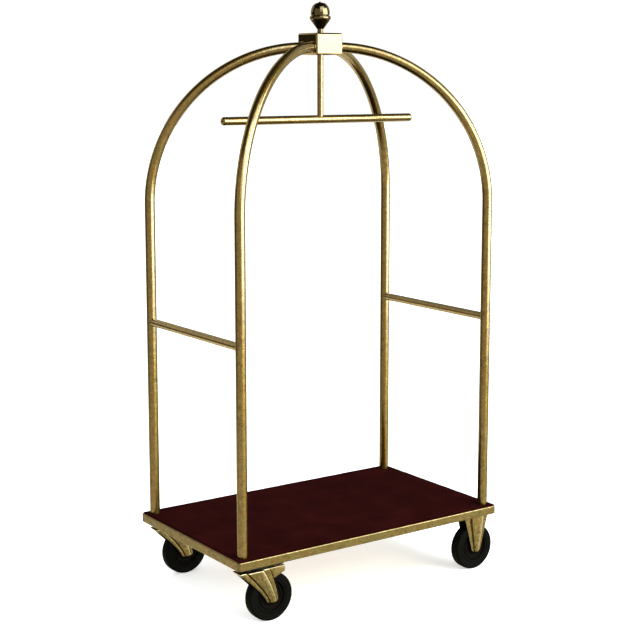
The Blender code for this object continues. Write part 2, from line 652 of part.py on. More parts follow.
def main():
    """Clear the scene and build the cart."""
    for thing in list(bpy.data.objects):
        bpy.data.objects.remove(thing)
    finishes = make_finishes()
    make_deck(finishes)
    make_arches(finishes)
    make_hub(finishes["brass"])
    make_finial(finishes["brass"])
    make_hanger(finishes["brass"])
    for side, sign in SIDES_Y.items():
        make_swivel_caster(side, sign, finishes)
        make_rigid_caster(side, sign, finishes)


main()
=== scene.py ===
"""Looks of the hotel luggage cart: aged brass, dark red carpet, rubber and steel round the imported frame.

Everything is in metres in the row frame: +Z up, X along the deck, "front" the -Y side, "left" the -X
end with the swivel casters.  Places are read from the CAD nodes' boxes; the few sizes that a box
doesn't give are named below.
"""
import math

import bmesh
import bpy
from mathutils import Matrix, Vector, noise


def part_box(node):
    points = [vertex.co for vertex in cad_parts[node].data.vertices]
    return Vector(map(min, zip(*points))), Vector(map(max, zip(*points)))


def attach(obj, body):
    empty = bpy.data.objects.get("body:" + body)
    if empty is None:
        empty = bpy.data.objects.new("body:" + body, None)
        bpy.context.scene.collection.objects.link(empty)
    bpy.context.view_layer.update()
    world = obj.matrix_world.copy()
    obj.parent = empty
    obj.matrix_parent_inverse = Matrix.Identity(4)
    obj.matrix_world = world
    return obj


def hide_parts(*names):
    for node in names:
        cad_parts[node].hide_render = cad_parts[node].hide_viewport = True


# ---- Sizes that the CAD boxes don't give ----------------------------------------------------
TUBE_RADIUS = 0.016
ARC_RADIUS = 0.488              # centre line of the bend at the top of each upright
SOCKET_RUN = 0.010              # how far an upright runs into the crown block
HUB_TUBE_Y = 0.028              # where the uprights enter the crown block's end faces
HUB_CHAMFER = 0.0038
HUB_SOFTENING = 0.2             # the chamfer's own edges, as a share of it
SOCKET_BEAD = 0.0022            # size of the bead where an upright enters the crown block
BAR_BEAD = 0.0014               # the same where a bar meets a tube
CONE_SHARE = 0.70               # how much of the finial's cup is a plain cone, in near-black brass as painted shade
NUB_RADIUS = 0.0056             # on top of the finial's dome

CORNER_RADIUS = 0.010           # deck corners
RAIL_FLANGE = 0.0075
RAIL_WALL = 0.003
RAIL_ROUNDING = [0.0012, 0.0030, 0.0009, 0.0009, 0, 0, 0.0005, 0.0008]  # from the outer foot, upwards
MITRE_GAP = 0.0002
CARPET_ROUNDING = 0.0035
CARPET_STEP = 0.0040            # between the points of the carpet's grid
CARPET_EDGE = [0, 0.0005, 0.0014, 0.0035]   # the first points in from its edge
PILE, PILE_SCALE = 0.00035, 230             # height and frequency of the tufts
SWELL, SWELL_SCALE = 0.0004, 22             # the same for the wider unevenness
DENT, DENT_REACH = 0.0016, 0.004            # round each upright
STRAP_SCREW = (0.0052, 0.0026)              # radius, height
STRAP_SCREW_INSET = 0.018
STRAP_SCREWS_Y = (-0.45, -0.15, 0.15, 0.45)     # shares of the strap's length, drawn in by the next
STRAP_SCREW_REACH = 0.62

WHEEL_RADIUS = 0.075
TYRE_BORE = 0.053
CORE_GAP = 0.0002               # between tyre and core
HUB_BORE = 0.0096
BEARING_BORE = 0.012
PLATE_BOLT = (0.011, 0.0042, 0.0085)        # across the flats, height, washer radius
CROWN_BOLT = (0.013, 0.0053, 0.010)
PLATE_BOLT_INSET = (0.012, 0.010)
CROWN_BOLTS_X = (-0.022, 0.030)
CROWN_TOP = 0.1668              # of a swivelling fork
CROWN_PLATE = 0.012             # thickness of a fork's crown
FORK_FOOT = 0.060
AXLE_BORE = 0.0054
LEG_INNER = 0.0193              # a fork leg's faces, from the wheel's plane
RIB_FACES = (0.0228, 0.0213)
PANEL_FACES = (0.0282, 0.0300)
FACE_INSET = 0.0006             # of the left rib and the crown plate, behind those faces
WING_FACE = 0.0217
WING_END = 0.0795
WING_SEAM = (0.133, 0.142, 0.150, 0.158, CROWN_TOP)     # heights where a wing meets its leg
SWIVEL_LEAD = ((-0.080, CROWN_TOP), (0.011, 0.0845), (0.0155, FORK_FOOT))   # a leg's edges: (x, height)
SWIVEL_TRAIL = ((0.0245, CROWN_TOP), (0.049, 0.117), (0.0565, FORK_FOOT))
RIGID_LEG_SHIFT = 0.004
RIGID_HALF_FOOT, RIGID_HALF_TOP = 0.0168, 0.0505        # half the width of a rigid leg
GROOVE_SHARES = (0.225, 0.775, 1.0)         # across a leg: where tarnish and painted shade gather
RIDGE_SHARE = 0.735                         # and the ridge, rubbed bright and painted with a highlight
# width of the painted groove shade and edge highlights
PAINTED_LINE_WIDTH = 0.0022

# ---- Fineness of the meshes -----------------------------------------------------------------
EDGE_GUARD = 0.0003             # extra points beside a rounded edge, which keep the flat beside it flat
FILLET_STEPS = 4
TUBE_SIDES = 48
FINIAL_SIDES = 72
BEARING_SIDES = 64
WHEEL_SIDES = 96
BORE_SIDES = 32
CORNER_STEPS = 8
BEND_STEPS = 72
STRAIGHT_STEPS = 6
BEAD_STEPS = 5
DOME_STEPS = 20
CAP_STEPS = 14
LEG_STEPS = 26
FORK_VOXEL = 0.0009
FORK_KEPT = 0.30                # share of the fine skin's faces that stay

# ---- Directions -----------------------------------------------------------------------------
SIDES_X = {"left": -1, "right": 1}
SIDES_Y = {"front": -1, "back": 1}
UP = Vector((0, 0, 1))

# ---- Camera ---------------------------------------------------------------------------------
CAMERA_AZIMUTH = math.radians(-35.07)
CAMERA_REACH = 4.557            # horizontal distance from the cart's middle
CAMERA_HEIGHT = 1.628
CAMERA_YAW = math.radians(-35.06)
CAMERA_PITCH = math.radians(8.53)
CAMERA_LENS = 80.95
CAMERA_SHIFT = -0.05


# ---- Mesh tools -----------------------------------------------------------------------------
def fillet(corners, radii):
    """A closed 2-D outline with its corners rounded: each corner has a radius, 0 to leave it sharp."""
    points = []
    for i, radius in enumerate(radii):
        here = Vector(corners[i])
        if not radius:
            points.append(here)
            continue
        back = (Vector(corners[i - 1]) - here).normalized()
        ahead = (Vector(corners[(i + 1) % len(corners)]) - here).normalized()
        half = back.angle(ahead) / 2
        start = here + back * radius / math.tan(half)
        end = here + ahead * radius / math.tan(half)
        centre = here + (back + ahead).normalized() * radius / math.sin(half)
        points.append(start + back * EDGE_GUARD)
        for step in range(FILLET_STEPS + 1):
            aim = start.lerp(end, step / FILLET_STEPS) - centre
            points.append(centre + aim.normalized() * radius)
        points.append(end + ahead * EDGE_GUARD)
    return points


def smooth_line(points, steps):
    """Points along a Catmull-Rom curve through 2-D or 3-D points."""
    points = [Vector(point) for point in points]
    padded = [2 * points[0] - points[1], *points, 2 * points[-1] - points[-2]]
    line = []
    for a, b, c, d in zip(padded, padded[1:], padded[2:], padded[3:]):
        for step in range(steps):
            t = step / steps
            line.append(0.5 * (2 * b + (c - a) * t + (2 * a - 5 * b + 4 * c - d) * t ** 2
                               + (3 * b - a - 3 * c + d) * t ** 3))
    return line + [points[-1]]


def skin(made, loops, ring=False, capped=True):
    """Join closed loops of points with faces."""
    rows = [[made.verts.new(point) for point in loop] for loop in loops]
    pairs = list(zip(rows, rows[1:]))
    if ring:
        pairs.append((rows[-1], rows[0]))
    for near, far in pairs:
        for i in range(len(near)):
            j = (i + 1) % len(near)
            made.faces.new((near[i], near[j], far[j], far[i]))
    if capped and not ring:
        made.faces.new(rows[0][::-1])
        made.faces.new(rows[-1])


def loft(loops, ring=False):
    """One solid through closed loops of points."""
    made = bmesh.new()
    skin(made, loops, ring=ring)
    return made


def lathe(profile, sides, ring=False):
    """A turned solid from (radius, height) points, about Z.

    Unless it is a ring it starts and ends on the axis.
    """
    made = bmesh.new()
    rows = []
    for radius, height in profile:
        if radius < 1e-7:
            rows.append([made.verts.new((0, 0, height))])
            continue
        turns = [2 * math.pi * i / sides for i in range(sides)]
        rows.append([made.verts.new((radius * math.cos(t), radius * math.sin(t), height))
                     for t in turns])
    pairs = list(zip(rows, rows[1:]))
    if ring:
        pairs.append((rows[-1], rows[0]))
    for near, far in pairs:
        for i in range(sides):
            j = (i + 1) % sides
            corners = [near[i % len(near)], near[j % len(near)], far[j % len(far)], far[i % len(far)]]
            made.faces.new(list(dict.fromkeys(corners)))
    return made


def rod(radius, low, high, sides=TUBE_SIDES):
    """A round bar about Z between two heights."""
    return lathe([(0, low), (radius, low), (radius, high), (0, high)], sides)


def moved(made, *matrices):
    """Apply transforms, the last one first."""
    for matrix in reversed(matrices):
        bmesh.ops.transform(made, matrix=matrix, verts=made.verts)
    return made


def at(*place):
    return Matrix.Translation(place)


def turn(degrees, axis):
    return Matrix.Rotation(math.radians(degrees), 4, axis)


def merged(solids):
    """Several meshes as one."""
    whole = bmesh.new()
    for solid in solids:
        mesh = bpy.data.meshes.new("part")
        solid.to_mesh(mesh)
        solid.free()
        whole.from_mesh(mesh)
        bpy.data.meshes.remove(mesh)
    return whole


def link(name, data):
    """A new object in the scene."""
    shown = bpy.data.objects.new(name, data)
    bpy.context.scene.collection.objects.link(shown)
    return shown


def link_mesh(name, made):
    mesh = bpy.data.meshes.new(name)
    made.to_mesh(mesh)
    made.free()
    return link(name, mesh)


def finish_mesh(mesh, materials, sharp):
    for material in materials:
        mesh.materials.append(material)
    mesh.shade_smooth()
    mesh.set_sharp_from_angle(angle=math.radians(sharp))


def piece(name, made, materials, body, replaces=(), sharp=32):
    """A finished mesh as a named piece of the object."""
    bmesh.ops.recalc_face_normals(made, faces=made.faces)
    shown = link_mesh(name, made)
    finish_mesh(shown.data, materials if isinstance(materials, list) else [materials], sharp)
    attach(shown, body)
    if replaces:
        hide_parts(*replaces)
    return shown


# ---- Materials ------------------------------------------------------------------------------
class Nodes:
    """A node tree, built with short calls."""

    def __init__(self, tree):
        self.nodes = tree.nodes
        self.links = tree.links

    def add(self, kind, inputs=(), **settings):
        made = self.nodes.new(kind)
        for key, value in settings.items():
            setattr(made, key, value)
        for key, value in dict(inputs).items():
            if isinstance(value, bpy.types.NodeSocket):
                self.links.new(value, made.inputs[key])
            else:
                made.inputs[key].default_value = value
        return made

    def math(self, operation, a, b=0.0):
        return self.add("ShaderNodeMath", {0: a, 1: b}, operation=operation).outputs[0]


class Tree(Nodes):
    """A material's node tree."""

    def __init__(self, name):
        self.material = bpy.data.materials.new(name)
        self.material.use_nodes = True
        super().__init__(self.material.node_tree)
        self.shader = self.nodes["Principled BSDF"]
        self.place = self.add("ShaderNodeTexCoord").outputs["Object"]

    def noise(self, scale, detail=3.0, roughness=0.55, place=None):
        made = self.add("ShaderNodeTexNoise", {
            "Vector": place or self.place, "Scale": scale, "Detail": detail, "Roughness": roughness})
        return made.outputs["Fac"]

    def stretched(self, scale):
        """The place, scaled unevenly, for grain that runs one way."""
        return self.add("ShaderNodeMapping", {"Vector": self.place, "Scale": scale}).outputs["Vector"]

    def span(self, value, low, high, new_low, new_high):
        """Map a value from one range to another, clamped."""
        return self.add("ShaderNodeMapRange", {
            "Value": value, "From Min": low, "From Max": high, "To Min": new_low, "To Max": new_high,
        }).outputs["Result"]

    def ramp(self, value, stops):
        made = self.add("ShaderNodeValToRGB", {"Fac": value})
        elements = made.color_ramp.elements
        while len(elements) < len(stops):
            elements.new(0.5)
        for element, (position, colour) in zip(elements, stops):
            element.position = position
            element.color = (*colour, 1.0)
        return made.outputs["Color"]

    def mix(self, share, a, b):
        made = self.add("ShaderNodeMix", data_type="RGBA")
        for socket, value in ((made.inputs[0], share), (made.inputs[6], a), (made.inputs[7], b)):
            if isinstance(value, bpy.types.NodeSocket):
                self.links.new(value, socket)
            else:
                socket.default_value = value if socket is made.inputs[0] else (*value, 1.0)
        return made.outputs[2]

    def bump(self, height, distance):
        return self.add("ShaderNodeBump", {
            "Height": height, "Distance": distance, "Strength": 1.0}).outputs["Normal"]

    def finish(self, **sockets):
        """Set or link the shader's sockets, named with _ for a space."""
        for key, value in sockets.items():
            socket = self.shader.inputs[key.replace("_", " ")]
            if isinstance(value, bpy.types.NodeSocket):
                self.links.new(value, socket)
            else:
                socket.default_value = value
        return self.material


# Groove colour: tarnish plus painted shade, also used as painted shade on the recessed rib, top faces and
# insides. Rubbed colour: real rubbing plus painted highlights.
GROOVE_TARNISH_AND_SHADE = (0.055, 0.028, 0.008)
RUBBED_BRASS_AND_HIGHLIGHT = (0.80, 0.68, 0.44)
COAT_ROUGHNESS, COAT_IOR = 0.09, 1.75
BRASS_WARM = [(0.085, 0.046, 0.008), (0.155, 0.096, 0.018), (0.215, 0.142, 0.031), (0.330, 0.235, 0.070)]
# A darker copy of the warm brass for the finial: painted shade for its polished faces.
BRASS_DIMMED_FOR_SHADE = [(0.032, 0.019, 0.004), (0.062, 0.041, 0.009), (0.090, 0.064, 0.016), (0.145, 0.108, 0.034)]
# Near-black brass: painted shade for the finial's cone.
BRASS_BLACKENED_FOR_SHADE = [(0.010, 0.006, 0.002), (0.018, 0.011, 0.003), (0.028, 0.018, 0.005), (0.050, 0.035, 0.011)]
BRASS_OLIVE = [(0.070, 0.043, 0.010), (0.126, 0.088, 0.024), (0.180, 0.133, 0.041), (0.320, 0.255, 0.105)]


def brass(name, roughness, spread, coat, shades, patches=70, contrast=1.0, depth=0.0001, paint_light_and_tarnish=False):
    """Aged lacquered brass: olive and brown patches of tarnish, a finer mottle, rubs and fine pits.

    shades run from the darkest tarnish to the brightest.  On pieces with the per-point shading attribute,
    ridges and top edges get painted highlights over real rubbing, grooves get painted shade over tarnish,
    and the recessed rib, top faces and insides get painted shade.
    """
    tree = Tree(name)
    clouds = tree.noise(patches * 0.30, 2.0)
    broad = tree.noise(patches, 4.0, 0.6)
    fine = tree.noise(patches * 4.2, 3.0, 0.65)
    tone = tree.math("ADD", tree.math("MULTIPLY", broad, 0.42), tree.math("MULTIPLY", fine, 0.58))
    reach = 0.10 / contrast
    stops = [0.5 - reach * 1.5, 0.5 - reach * 0.6, 0.5 + reach * 0.25, 0.5 + reach * 1.3]
    tarnish = tree.ramp(tone, list(zip(stops, shades)))
    middle = shades[2]
    brown = (middle[0] * 1.02, middle[1] * 0.84, middle[2] * 0.78)
    olive = (middle[0] * 0.74, middle[1] * 0.86, middle[2] * 0.85)
    shade = tree.mix(tree.span(clouds, 0.46, 0.64, 0.0, 0.42), tarnish, brown)
    shade = tree.mix(tree.span(clouds, 0.48, 0.34, 0.0, 0.45), shade, olive)
    dull = tree.span(tone, 0.38, 0.62, roughness + spread, roughness - spread * 0.3)
    if paint_light_and_tarnish:
        light_and_tarnish = tree.add("ShaderNodeAttribute", attribute_name="light_and_tarnish").outputs["Fac"]
        light_and_tarnish_amount = tree.math("MULTIPLY", light_and_tarnish, tree.span(fine, 0.35, 0.65, 0.75, 1.2))
        # Positive values paint shade over the groove tarnish; negative values paint highlights over the
        # rubbed edges.
        shade = tree.mix(tree.span(light_and_tarnish_amount, 0.10, 0.80, 0.0, 0.80), shade, GROOVE_TARNISH_AND_SHADE)
        shade = tree.mix(tree.span(light_and_tarnish_amount, -0.05, -0.90, 0.0, 0.75), shade, RUBBED_BRASS_AND_HIGHLIGHT)
    pits = tree.math("MULTIPLY", tree.noise(patches * 12, 2.0), 0.25)
    return tree.finish(Base_Color=shade, Roughness=dull, Metallic=1.0,
                       Normal=tree.bump(tree.math("ADD", tone, pits), depth),
                       Coat_Weight=coat, Coat_Roughness=COAT_ROUGHNESS, Coat_IOR=COAT_IOR)


def carpet_pile():
    """Short dark red pile: tufts in the bump, wandering shade where it lies over, a soft sheen."""
    tree = Tree("carpet_pile")
    lay = tree.noise(9, 3.0)
    tufts = tree.add("ShaderNodeTexVoronoi", {"Vector": tree.place, "Scale": 520.0}).outputs["Distance"]
    fibre = tree.noise(1500, 2.0)
    shade = tree.math("ADD", tree.math("MULTIPLY", lay, 0.5), tree.math("MULTIPLY", fibre, 0.5))
    colour = tree.ramp(shade, [
        (0.36, (0.0078, 0.0005, 0.0005)), (0.50, (0.0130, 0.0010, 0.0010)),
        (0.64, (0.022, 0.0023, 0.0022))])
    dug = tree.mix(tree.span(tufts, 0.25, 0.75, 0.0, 0.55), colour, (0.0045, 0.0005, 0.0005))
    bumped = tree.bump(tree.math("SUBTRACT", fibre, tufts), 0.0009)
    return tree.finish(Base_Color=dug, Roughness=0.95, Normal=bumped, Specular_IOR_Level=0.015,
                       Sheen_Weight=0.006, Sheen_Roughness=0.45, Sheen_Tint=(0.55, 0.12, 0.16, 1.0))


def rubber(name, colour, roughness):
    """Black rubber or nylon with a grey bloom of dust and a faint grain."""
    tree = Tree(name)
    dust = tree.noise(38, 4.0, 0.6)
    grain = tree.noise(900, 2.0)
    lighter = tuple(part * 2.2 + 0.0006 for part in colour)
    shade = tree.mix(tree.span(dust, 0.45, 0.75, 0.0, 0.6), colour, lighter)
    dull = tree.span(dust, 0.3, 0.7, roughness - 0.08, roughness + 0.1)
    return tree.finish(Base_Color=shade, Roughness=dull, Normal=tree.bump(grain, 0.00006),
                       Specular_IOR_Level=0.035)


def steel(name, colour, roughness, metallic):
    """Plated or painted steel with rubbed and stained patches."""
    tree = Tree(name)
    stain = tree.noise(60, 4.0, 0.6)
    scuff = tree.noise(700, 2.0, place=tree.stretched((1.0, 1.0, 0.12)))
    darker = tuple(part * 0.55 for part in colour)
    shade = tree.mix(tree.span(stain, 0.42, 0.68, 0.0, 0.55), colour, darker)
    dull = tree.span(tree.math("ADD", stain, scuff), 0.7, 1.3, roughness - 0.08, roughness + 0.14)
    return tree.finish(Base_Color=shade, Roughness=dull, Metallic=metallic,
                       Normal=tree.bump(scuff, 0.00004), Specular_IOR_Level=0.2)


def plywood():
    """Birch plywood: grain along X on its faces and thin plies round its edge."""
    tree = Tree("plywood")
    grain = tree.noise(1.0, 5.0, 0.6, place=tree.stretched((7.0, 120.0, 120.0)))
    face = tree.ramp(grain, [
        (0.30, (0.30, 0.175, 0.085)), (0.55, (0.46, 0.30, 0.16)), (0.75, (0.58, 0.41, 0.24))])
    height = tree.add("ShaderNodeSeparateXYZ", {"Vector": tree.place}).outputs["Z"]
    plies = tree.math("SINE", tree.math("MULTIPLY", height, 2 * math.pi / 0.003))
    facing = tree.add("ShaderNodeNewGeometry").outputs["Normal"]
    upright = tree.math("ABSOLUTE", tree.add("ShaderNodeSeparateXYZ", {"Vector": facing}).outputs["Z"])
    banded = tree.mix(tree.span(plies, -0.4, 0.4, 0.0, 0.6), face, (0.20, 0.11, 0.05))
    shade = tree.mix(tree.span(upright, 0.3, 0.7, 0.0, 1.0), banded, face)
    return tree.finish(Base_Color=shade, Roughness=0.72, Normal=tree.bump(grain, 0.0002))


def make_materials():
    polish = {"patches": 45, "contrast": 0.6, "depth": 0.00001}
    return {
        "polished": brass("brass_polished", 0.12, 0.06, 1.0, BRASS_WARM, **polish),
        # The finial's dome and post take the darker copy of the warm brass as painted shade.
        "finial": brass("brass_finial", 0.11, 0.05, 0.6, BRASS_DIMMED_FOR_SHADE, **polish),
        # the finial's cone: near-black brass as painted shade
        "painted_shade": brass("brass_painted_shade", 0.34, 0.10, 0.1, BRASS_BLACKENED_FOR_SHADE, patches=45, contrast=0.8),
        "tube": brass("brass_tube", 0.28, 0.14, 1.0, BRASS_WARM, contrast=1.35, depth=0.00006),
        "rail": brass("brass_rail", 0.28, 0.14, 0.6, BRASS_OLIVE, patches=85, contrast=1.5,
                      depth=0.00012),
        # The forks' brass: painted shade and painted highlights come from its per-point attribute.
        "cast": brass("brass_worn_painted_light", 0.32, 0.16, 0.5, BRASS_OLIVE, patches=85, contrast=1.6,
                      depth=0.00016, paint_light_and_tarnish=True),
        "carpet": carpet_pile(),
        "rubber": rubber("tyre_rubber", (0.0010, 0.0011, 0.0009), 0.62),
        "core": rubber("wheel_nylon", (0.0008, 0.0006, 0.0005), 0.55),
        "black": steel("black_paint", (0.004, 0.004, 0.004), 0.60, 0.0),
        "bright": steel("zinc_plate", (0.34, 0.33, 0.31), 0.40, 1.0),
        "board": plywood(),
    }


# ---- Deck -----------------------------------------------------------------------------------
def deck_corner(sign_x, sign_y, deck):
    return Vector((sign_x * (deck.x - CORNER_RADIUS), sign_y * (deck.y - CORNER_RADIUS), 0))


def make_rails(look):
    """Brass channel round the deck, in four mitred lengths with rounded edges."""
    low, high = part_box("edge_rail_front")
    deck = Vector((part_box("edge_rail_right")[1].x, -low.y))
    section = fillet(
        [(0, low.z), (0, high.z), (RAIL_FLANGE, high.z), (RAIL_FLANGE, high.z - RAIL_WALL),
         (RAIL_WALL, high.z - RAIL_WALL), (RAIL_WALL, low.z + RAIL_WALL),
         (RAIL_FLANGE, low.z + RAIL_WALL), (RAIL_FLANGE, low.z)],
        RAIL_ROUNDING)
    for quarter, side in enumerate(["right", "back", "left", "front"]):
        outward = turn(90 * quarter, "Z").to_3x3() @ Vector((1, 0, 0))
        along = UP.cross(outward)
        loops = []
        for end in (-1, 1):
            diagonal = outward + end * along
            centre = deck_corner(math.copysign(1, diagonal.x), math.copysign(1, diagonal.y), deck)
            turns = [end * 45 * step / CORNER_STEPS for step in range(CORNER_STEPS + 1)]
            for angle in (turns[::-1] if end < 0 else turns):
                arm = turn(angle, "Z").to_3x3() @ outward
                shift = -end * MITRE_GAP * along if abs(angle) == 45 else Vector()
                loops.append([centre + shift + arm * (CORNER_RADIUS - inset) + UP * height
                              for inset, height in section])
        piece(f"rail_{side}", loft(loops), look["rail"], "frame", [f"edge_rail_{side}"])


def grid_lines(reach):
    """Positions across the carpet, close together near its two edges."""
    inner = reach - CARPET_EDGE[-1]
    count = round(2 * inner / CARPET_STEP)
    middle = [-inner + 2 * inner * i / count for i in range(count + 1)]
    return [-reach + f for f in CARPET_EDGE[:-1]] + middle + [reach - f for f in CARPET_EDGE[-2::-1]]


def make_carpet(look):
    """The carpet, laid on the board: a rounded edge, a soft uneven pile and dents round the uprights."""
    low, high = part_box("deck_carpet")
    xs = grid_lines(high.x)
    feet = [(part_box(f"tube_plug_{x}_{y}")[0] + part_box(f"tube_plug_{x}_{y}")[1]) / 2
            for x in SIDES_X for y in SIDES_Y]
    made = bmesh.new()
    rows = []
    for y in grid_lines(high.y):
        row = []
        for x in xs:
            inset = min(high.x - abs(x), high.y - abs(y), CARPET_ROUNDING)
            drop = CARPET_ROUNDING - math.sqrt(
                max(CARPET_ROUNDING ** 2 - (CARPET_ROUNDING - inset) ** 2, 0))
            for foot in feet:
                gap = math.hypot(x - foot.x, y - foot.y) - TUBE_RADIUS
                drop += DENT * math.exp(-(max(gap, 0) / DENT_REACH) ** 2)
            pile = PILE * noise.noise(Vector((x, y, 0)) * PILE_SCALE)
            pile += SWELL * noise.noise(Vector((x, y, 4)) * SWELL_SCALE)
            row.append(made.verts.new((x, y, high.z - PILE - drop + pile)))
        rows.append(row)
    for near, far in zip(rows, rows[1:]):
        for i in range(len(near) - 1):
            made.faces.new((near[i], near[i + 1], far[i + 1], far[i]))
    edge = (rows[0][:-1] + [row[-1] for row in rows[:-1]]
            + rows[-1][:0:-1] + [row[0] for row in rows[:0:-1]])
    under = [made.verts.new((v.co.x, v.co.y, low.z)) for v in edge]
    for i, v in enumerate(edge):
        j = (i + 1) % len(edge)
        made.faces.new((edge[j], v, under[i], under[j]))
    made.faces.new(under[::-1])
    carpet = piece("carpet", made, look["carpet"], "frame", ["deck_carpet"], sharp=75)


def screw_head(radius, height):
    """A pan head with a recess."""
    return lathe([(0, 0), (radius, 0), (radius, height * 0.35), (radius * 0.8, height * 0.85),
                  (radius * 0.45, height), (radius * 0.4, height * 0.55), (0, height * 0.5)], 20)


def hex_bolt(across, height, washer):
    """A hexagon head on a washer, pointing up."""
    reach = across / math.sqrt(3)
    thick, edge = 0.0014, 0.0004
    parts = []
    for low, high, size, sides in ((0, thick, washer, 28), (thick, thick + height, reach, 6)):
        parts.append(lathe([(0, low), (size - edge, low), (size, low + edge), (size, high - edge),
                            (size - edge * 1.5, high), (0, high)], sides))
    return merged(parts)


def make_underside(look):
    """Board and straps in their finishes, with the screws that hold the straps."""
    paint("deck_board", look["board"])
    for side in SIDES_X:
        paint(f"mount_strap_{side}", look["black"])
    for corner in [f"{x}_{y}" for x in SIDES_X for y in SIDES_Y]:
        paint(f"tube_plug_{corner}", look["bright"])
        paint(f"tube_bolt_{corner}", look["bright"])
    heads = []
    for side in SIDES_X:
        low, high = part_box(f"mount_strap_{side}")
        for x in (low.x + STRAP_SCREW_INSET, high.x - STRAP_SCREW_INSET):
            for share in STRAP_SCREWS_Y:
                y = share * (high.y - low.y) * STRAP_SCREW_REACH
                heads.append(moved(screw_head(*STRAP_SCREW), at(x, y, low.z), turn(180, "X")))
    piece("strap_screws", merged(heads), look["bright"], "frame")


def paint(node, material):
    """Give a CAD node that stays its finish."""
    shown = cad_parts[node]
    shown.data.materials.clear()
    shown.data.materials.append(material)


# ---- Uprights, crown and bars ---------------------------------------------------------------
def upright_path(sign_x, sign_y, low, high):
    """Stations (point, direction) along an upright's centre line, from its foot into the crown block."""
    foot = Vector((sign_x * (max(abs(low.x), abs(high.x)) - TUBE_RADIUS),
                   sign_y * (max(abs(low.y), abs(high.y)) - TUBE_RADIUS), low.z))
    hub_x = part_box("crown_hub")[1].x
    inward = Vector((sign_x * (hub_x - abs(foot.x)), sign_y * (HUB_TUBE_Y - abs(foot.y)), 0))
    inward.normalize()
    bend = high.z - TUBE_RADIUS - ARC_RADIUS
    stations = [(Vector((foot.x, foot.y, foot.z + (bend - foot.z) * i / STRAIGHT_STEPS)), UP)
                for i in range(STRAIGHT_STEPS)]
    for step in range(BEND_STEPS + 1):
        angle = math.pi / 2 * step / BEND_STEPS
        point = Vector((foot.x, foot.y, bend)) + inward * ARC_RADIUS * (1 - math.cos(angle))
        stations.append((point + UP * ARC_RADIUS * math.sin(angle),
                         inward * math.sin(angle) + UP * math.cos(angle)))
    stations.append((stations[-1][0] + inward * SOCKET_RUN, inward))
    return stations, inward


def bead_offsets(size, step):
    """How far a small concave bead spreads along one surface and rises up the other."""
    angle = math.pi / 2 * step / BEAD_STEPS
    return size * (1 - math.sin(angle)) + 0.0001, size * (1 - math.cos(angle))


def fillet_ring(surface):
    """A bead's mesh: surface(turn, step) gives its points round and across the joint."""
    loops = [[surface(2 * math.pi * i / TUBE_SIDES, step) for i in range(TUBE_SIDES)]
             for step in range(BEAD_STEPS + 1)]
    made = bmesh.new()
    skin(made, loops, capped=False)
    return made


def make_uprights(look):
    """Four uprights that bend into the crown, each with a brazed bead where it enters the block."""
    for side_x, sign_x in SIDES_X.items():
        for side_y, sign_y in SIDES_Y.items():
            corner = f"{side_x}_{side_y}"
            low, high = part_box(f"arch_tube_{corner}")
            stations, inward = upright_path(sign_x, sign_y, low, high)
            across = inward.cross(UP)
            loops = []
            for point, run in stations:
                other = run.cross(across)
                loops.append([point + TUBE_RADIUS * (across * math.cos(t) + other * math.sin(t))
                              for t in [2 * math.pi * i / TUBE_SIDES for i in range(TUBE_SIDES)]])
            piece(f"upright_{corner}", loft(loops), look["tube"], "frame",
                  [f"arch_tube_{corner}"])
            bead = socket_bead(stations[-1][0], inward, across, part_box("crown_hub")[1].x)
            piece(f"socket_bead_{corner}", bead, look["tube"], "frame")


def socket_bead(end, inward, across, face_x):
    """The bead between an upright and the end face of the crown block."""
    face = math.copysign(face_x, end.x)

    def surface(angle, step):
        spread, rise = bead_offsets(SOCKET_BEAD, step)
        reach = TUBE_RADIUS + spread
        point = end + reach * (across * math.cos(angle) + UP * math.sin(angle))
        run = (face - point.x) / inward.x
        return point + inward * (run - rise / abs(inward.x))

    return fillet_ring(surface)


def make_hub(look):
    """The crown block: a solid with chamfered edges, themselves softened."""
    low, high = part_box("crown_hub")
    made = bmesh.new()
    bmesh.ops.create_cube(made, size=1.0)
    for v in made.verts:
        v.co = [low[i] if v.co[i] < 0 else high[i] for i in range(3)]
    for offset in (HUB_CHAMFER, HUB_CHAMFER * HUB_SOFTENING):
        bmesh.ops.bevel(made, geom=made.edges, offset=offset, segments=1, profile=0.5, affect="EDGES")
    piece("crown_block", made, look["polished"], "frame", ["crown_hub"], sharp=20)


